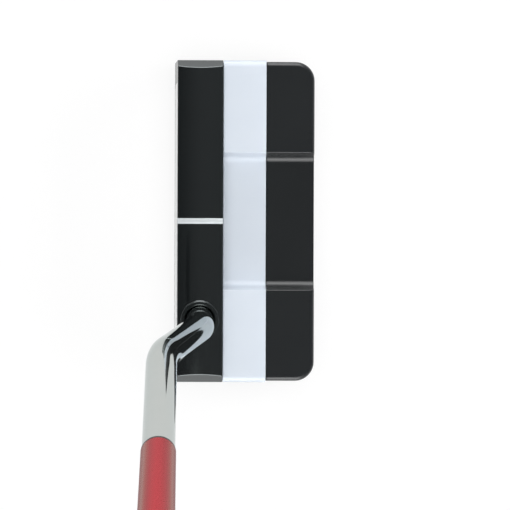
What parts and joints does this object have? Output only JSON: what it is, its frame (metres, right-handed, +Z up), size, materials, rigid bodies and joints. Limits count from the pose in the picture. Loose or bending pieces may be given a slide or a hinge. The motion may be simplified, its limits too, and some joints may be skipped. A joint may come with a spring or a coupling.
{
  "type": "mallet putter",
  "caption": "Wide-bodied putter with a dark head banded in white, a pale face insert, a double-bend plated tip, a red tapered shaft and a pistol grip, for rolling a golf ball.",
  "frame": {"origin": "on the flat sole where it meets the ground, under the sight line and midway between the top edge of the face and the back", "axes": "+X from the striking face to the back, +Y from heel to toe, +Z up from the ground; the shaft leans towards -Y"},
  "size_m": [0.0616, 0.367, 0.8379],
  "materials": {
    "black_steel": "satin",
    "black_aluminium": "satin",
    "white_deck": "satin",
    "bond_tape": "matte",
    "white_urethane": "satin",
    "white_paint": "gloss",
    "bare_steel": "satin",
    "white_nylon": "satin",
    "chrome_plate": "polished",
    "dark_ring": "gloss",
    "red_lacquer": "gloss",
    "paper_tape": "matte",
    "grip_rubber": "matte",
    "cap_rubber": "matte"
  },
  "bodies": {
    "root": {"front_body": "black_steel", "rear_body": "black_aluminium", "centre_deck": "white_deck", "deck_tape": "bond_tape", "face_insert": "white_urethane", "insert_tape": "bond_tape", "sight_line": "white_paint", "toe_weight": "bare_steel", "heel_weight": "bare_steel", "weight_washers": "white_nylon", "body_screws": "bare_steel", "dowel_pins": "bare_steel", "bent_tip": "chrome_plate", "joint_ring": "dark_ring", "shaft_tube": "red_lacquer", "butt_weight": "bare_steel", "grip_tape": "paper_tape", "grip": "grip_rubber", "grip_cap": "cap_rubber"}
  },
  "joints": []
}
